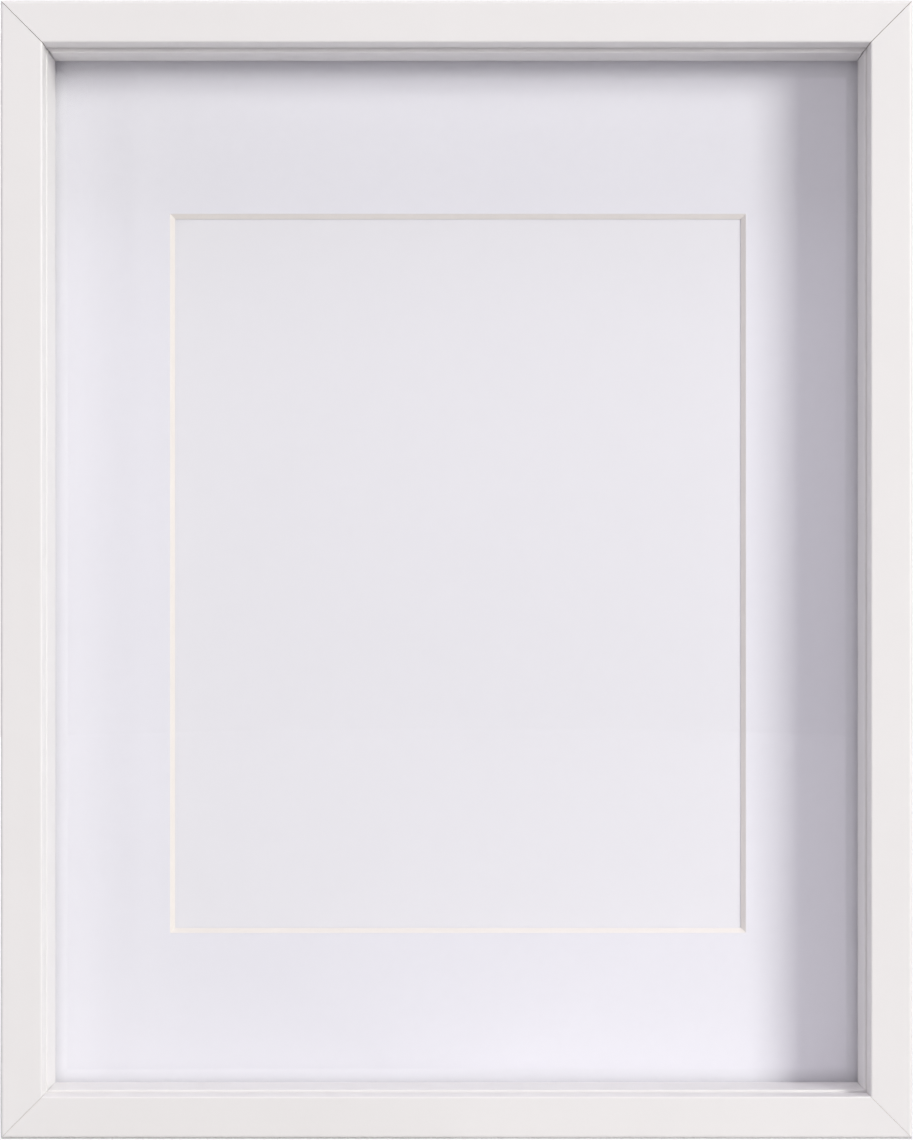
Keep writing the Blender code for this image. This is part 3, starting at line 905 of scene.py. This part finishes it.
def sawtooth_hanger():
    """The hanger round the origin, its teeth downwards and its underside at Y zero."""
    bpy.ops.object.select_all(action="DESELECT")
    bpy.ops.mesh.primitive_plane_add(size=1, rotation=(math.radians(90), 0, 0))
    hanger = bpy.context.object
    hanger.scale = (HANGER_LENGTH, HANGER_HEIGHT, 1)
    settle(hanger)
    shape(hanger)
    pitch = 2 * RAISED_END / TEETH
    folds = [-FOOT_END, FOOT_END] + [-RAISED_END + pitch / 2 * i for i in range(2 * TEETH + 1)]
    for fold in folds:
        slice_at((fold, 0, 0), (1, 0, 0))
    roots = [-RAISED_END + pitch * (i + 0.5) for i in range(TEETH)]
    pick("VERT", lambda c, n: c.z < -0.001 and any(abs(c.x - root) < 1e-5 for root in roots))
    bpy.ops.transform.translate(value=(0, 0, TOOTH_DEPTH))
    pick("VERT", lambda c, n: abs(c.x) > HANGER_LENGTH / 2 - 1e-5)
    bpy.ops.mesh.bevel(offset=HANGER_CORNER, segments=5, affect="VERTICES")
    pick("VERT", lambda c, n: abs(c.x) < RAISED_END + 1e-5)
    bpy.ops.transform.translate(value=(0, HANGER_RISE, 0))
    bpy.ops.mesh.select_all(action="SELECT")
    bpy.ops.mesh.extrude_region_move(
        TRANSFORM_OT_translate={"value": (0, HANGER_THICKNESS, 0)})
    close(hanger)
    for side in (-1, 1):
        hole = start_round("hole", PIN_HOLE_RADIUS, *DRILL, corners=24)
        hole.location = (side * PIN_FROM_MIDDLE, 0, 0)
        hole.rotation_euler = (math.radians(-90), 0, 0)
        settle(hole)
        cut(hanger, hole)
        bpy.data.objects.remove(hole)
    soften(hanger, HANGER_EDGE, segments=2, degrees=50)
    hanger.data.materials.clear()
    hanger.data.materials.append(ZINC)
    smooth(hanger)
    return hanger


# %% Two hangers and four pins
PIN_HEAD_HEIGHT = 0.0006
PIN_DOME = 0.0003
PIN_SHANK_RADIUS = 0.0007
PIN_POINT = 0.0016
hanger = sawtooth_hanger()
pin_low, pin_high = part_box("hanger_nail_top_1")
pin = headed_pin("pin", (pin_high[0] - pin_low[0]) / 2, PIN_HEAD_HEIGHT, PIN_DOME,
                 PIN_SHANK_RADIUS, pin_high[1] - pin_low[1] - PIN_HEAD_HEIGHT, PIN_POINT)
pin.data.materials.clear()
pin.data.materials.append(ZINC)
smooth(pin)
upright_to_rear(pin)
for side, turn in (("top", 0), ("left", -90)):
    low, high = (Vector(corner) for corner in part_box("hanger_" + side))
    middle = (low + high) / 2
    strip = copy_of(hanger, "sawtooth_" + side, turn, (middle.x, low.y, middle.z))
    stand_in(strip, "hanger_" + side)
    for number in (1, 2):
        tag = side + "_" + str(number)
        low, high = (Vector(corner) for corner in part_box("hanger_nail_" + tag))
        middle = (low + high) / 2
        place = (middle.x, high.y - PIN_HEAD_HEIGHT, middle.z)
        stand_in(copy_of(pin, "pin_" + tag, 0, place), "hanger_nail_" + tag)
bpy.data.objects.remove(hanger)
bpy.data.objects.remove(pin)

# %% [markdown]
# ## Rubber pads and V-nails
#
# Four rubber pads keep the frame off the wall. A pad is a short cylinder with a wide round on its
# free edge and a small one at its foot. The V-nails are only seen end on, down in their slots,
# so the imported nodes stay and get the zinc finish.

# %% Pads and V-nails
pad_low, pad_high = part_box("bumper_bottom_left")
PAD_RADIUS = (pad_high[0] - pad_low[0]) / 2
PAD_HEIGHT = pad_high[1] - pad_low[1]
PAD_ROUND = 0.0012
PAD_FOOT_ROUND = 0.0003
pad = start_round("pad", PAD_RADIUS, 0, PAD_HEIGHT, corners=64)
shape(pad)
pick("EDGE", lambda c, d: abs(c.z - PAD_HEIGHT) < 1e-6)
bpy.ops.mesh.bevel(offset=PAD_ROUND, segments=8, profile=0.5, affect="EDGES")
pick("EDGE", lambda c, d: abs(c.z) < 1e-6)
bpy.ops.mesh.bevel(offset=PAD_FOOT_ROUND, segments=3, profile=0.5, affect="EDGES")
close(pad)
pad.data.materials.append(RUBBER)
smooth(pad)
upright_to_rear(pad)
for tag in ("bottom_left", "bottom_right", "top_left", "top_right"):
    low, high = (Vector(corner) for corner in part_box("bumper_" + tag))
    middle = (low + high) / 2
    foot = copy_of(pad, "rubber_pad_" + tag, 0, (middle.x, low.y, middle.z))
    stand_in(foot, "bumper_" + tag)
bpy.data.objects.remove(pad)

for name, node in cad_nodes.items():
    if name.startswith("v_nail"):
        node.data.materials.clear()
        node.data.materials.append(ZINC)

# %% [markdown]
# ## Floor and light
#
# The box stands on a pale floor. The window-like soft lamps stand far off, so that the whole
# front is lit evenly: two side by side on the right, a little above the middle, throw the
# soft-edged shadow of the right and top mouldings on the mat. Weaker ones come from above and
# from the left, and one behind lights the rear when the frame is turned round.


# %% Helpers for light
def mixed(tree, factor, first, second):
    """The first colour where the factor is 0 and the second where it is 1."""
    node = tree.nodes.new("ShaderNodeMix")
    node.data_type = "RGBA"
    tree.links.new(factor, node.inputs["Factor"])
    for socket, colour in ((node.inputs["A"], first), (node.inputs["B"], second)):
        if isinstance(colour, bpy.types.NodeSocket):
            tree.links.new(colour, socket)
        else:
            socket.default_value = (*colour, 1)
    return node.outputs["Result"]


def scaled(tree, colour, amount):
    node = tree.nodes.new("ShaderNodeVectorMath")
    node.operation = "SCALE"
    node.inputs["Vector"].default_value = colour
    tree.links.new(amount, node.inputs["Scale"])
    return node.outputs["Vector"]


def gloss_ray(tree, ray):
    """Is 1 for a ray that a mirror or a clear piece sends on, and 0 for any other."""
    return combine(tree, "MAXIMUM", ray.outputs["Is Glossy Ray"],
                   ray.outputs["Is Transmission Ray"])


ROOM_TINT = (1.08, 1.0, 1.12)
ROOM_AHEAD = 0.64
ROOM_SLOPE = 1.6
ROOM_DARKEST = 0.3
ROOM_LIGHTEST = 0.95


def room_level(tree, rightward):
    """How bright gloss finds the room: darker towards the left, lighter towards the right."""
    level = combine(tree, "ADD", combine(tree, "MULTIPLY", rightward, ROOM_SLOPE), ROOM_AHEAD)
    return combine(tree, "MINIMUM", combine(tree, "MAXIMUM", level, ROOM_DARKEST), ROOM_LIGHTEST)


# %% [markdown]
# ### Floor
#
# The eye sees a pale floor with the frame's soft shadow. Matt surfaces find it darker, so that it
# throws less light back up, and gloss finds the same room glow on it as in the world around, so
# that no horizon line shows in the pane.

# %% Floor
FLOOR_SIZE = 8
BELOW_FRAME = 0.0002
SEEN_TONE = (0.86, 0.86, 0.86)
MATT_TONE = (0.57, 0.57, 0.57)
SEEN_GLOW = (0.3, 0.3, 0.3)
BLACK = (0, 0, 0)

bpy.ops.object.select_all(action="DESELECT")
bpy.ops.mesh.primitive_plane_add(size=FLOOR_SIZE, location=(0, 0, -BELOW_FRAME))
floor = bpy.context.object
floor.name = "floor"
floor_material, floor_tree, floor_shader = new_material("floor", 0.9)
floor_ray = floor_tree.nodes.new("ShaderNodeLightPath")
floor_gloss = gloss_ray(floor_tree, floor_ray)
floor_tone = mixed(floor_tree, floor_ray.outputs["Is Diffuse Ray"], SEEN_TONE, MATT_TONE)
floor_tone = mixed(floor_tree, floor_gloss, floor_tone, BLACK)
floor_tree.links.new(floor_tone, floor_shader.inputs["Base Color"])
floor_place = floor_tree.nodes.new("ShaderNodeTexCoord")
floor_way = floor_tree.nodes.new("ShaderNodeSeparateXYZ")
floor_tree.links.new(floor_place.outputs["Object"], floor_way.inputs["Vector"])
rightward = combine(floor_tree, "DIVIDE", floor_way.outputs["X"],
                    combine(floor_tree, "MULTIPLY", floor_way.outputs["Y"], -1.0))
room_glow = scaled(floor_tree, ROOM_TINT, room_level(floor_tree, rightward))
floor_glow = mixed(floor_tree, floor_ray.outputs["Is Camera Ray"], BLACK, SEEN_GLOW)
floor_glow = mixed(floor_tree, floor_gloss, floor_glow, room_glow)
floor_tree.links.new(floor_glow, floor_shader.inputs["Emission Color"])
floor_shader.inputs["Emission Strength"].default_value = 1.0
floor.data.materials.append(floor_material)

# %% Lamps
LAMP_DISTANCE = 8.0
KEY_TINT = (1.0, 1.0, 0.945)
SKY_TINT = (1.045, 1.0, 1.09)


def soft_lamp(name, towards, degrees_wide, degrees_high, level, tint):
    """A lamp of that size as the frame sees it; level is how bright a white sheet gets in it."""
    towards = Vector(towards).normalized()
    light = bpy.data.lights.new(name, "AREA")
    light.shape = "RECTANGLE"
    light.size = 2 * LAMP_DISTANCE * math.tan(math.radians(degrees_wide / 2))
    light.size_y = 2 * LAMP_DISTANCE * math.tan(math.radians(degrees_high / 2))
    light.color = tint
    light.energy = level * math.pi ** 2 * LAMP_DISTANCE ** 2
    lamp = bpy.data.objects.new(name, light)
    bpy.context.scene.collection.objects.link(lamp)
    lamp.location = Vector((0, 0, MIDDLE_Z)) + towards * LAMP_DISTANCE
    lamp.rotation_euler = towards.to_track_quat("Z", "Y").to_euler()
    lamp.visible_camera = False


soft_lamp("key_lamp", (0.744, -1.0, 0.235), 8.6, 15.6, 0.306, KEY_TINT)
soft_lamp("key_wing", (1.007, -1.0, 0.300), 9.0, 17.0, 0.320, KEY_TINT)
soft_lamp("top_lamp", (0.1, -0.45, 1.0), 24.0, 20.0, 0.195, SKY_TINT)
soft_lamp("side_lamp", (-2.2, -1.0, 0.2), 22.0, 22.0, 0.088, SKY_TINT)
soft_lamp("left_lamp", (-0.87, -1.0, 0.10), 5.5, 8.0, 0.056, KEY_TINT)
soft_lamp("rear_lamp", (-0.7, 1.0, 0.5), 20.0, 20.0, 0.40, (1.0, 1.0, 1.0))


# %% The studio round the frame
def studio():
    """A sky for matt surfaces, white for the eye, and a room that gloss sees, lighter at right."""
    world = bpy.data.worlds.new("studio")
    bpy.context.scene.world = world
    world.use_nodes = True
    tree = world.node_tree
    ray = tree.nodes.new("ShaderNodeLightPath")
    where = tree.nodes.new("ShaderNodeTexCoord")
    way = tree.nodes.new("ShaderNodeSeparateXYZ")
    tree.links.new(where.outputs["Generated"], way.inputs["Vector"])
    height = combine(tree, "MAXIMUM", way.outputs["Z"], 0.0)
    sky = scaled(tree, SKY_TINT, combine(tree, "MULTIPLY", height, 0.56))
    level = combine(tree, "ADD", room_level(tree, way.outputs["X"]),
                    combine(tree, "MULTIPLY", height, 1.5))
    room = scaled(tree, ROOM_TINT, combine(tree, "MINIMUM", level, 1.0))
    unseen = mixed(tree, gloss_ray(tree, ray), sky, room)
    seen = mixed(tree, ray.outputs["Is Camera Ray"], unseen, (1, 1, 1))
    tree.links.new(seen, tree.nodes["Background"].inputs["Color"])


studio()

# %% [markdown]
# ## Camera
#
# The photograph looks straight at the frame from about a metre. Its lens sits below the middle of
# the picture, because the top wall shows more than the bottom one, so the camera is lower than
# the frame's middle and the picture is shifted up instead of tilted.

# %% Camera
CAMERA_DISTANCE = 0.970
PHOTO_HEIGHT = 1140
PIXELS_PER_METRE = 3043.3
AXIS_ROW = 640
FRAME_FOOT_ROW = 1138.5
camera_data = bpy.data.cameras.new("camera")
camera_data.sensor_width = 36
camera_data.lens = 36 * CAMERA_DISTANCE * PIXELS_PER_METRE / PHOTO_HEIGHT
camera_data.shift_y = (AXIS_ROW - PHOTO_HEIGHT / 2) / PHOTO_HEIGHT
camera = bpy.data.objects.new("camera", camera_data)
bpy.context.scene.collection.objects.link(camera)
camera.location = (0, FRONT_Y - CAMERA_DISTANCE, (FRAME_FOOT_ROW - AXIS_ROW) / PIXELS_PER_METRE)
camera.rotation_euler = (math.radians(90), 0, 0)
bpy.context.scene.camera = camera
bpy.context.scene.view_settings.view_transform = "Standard"
print("lens", round(camera_data.lens, 2), "shift", round(camera_data.shift_y, 4))
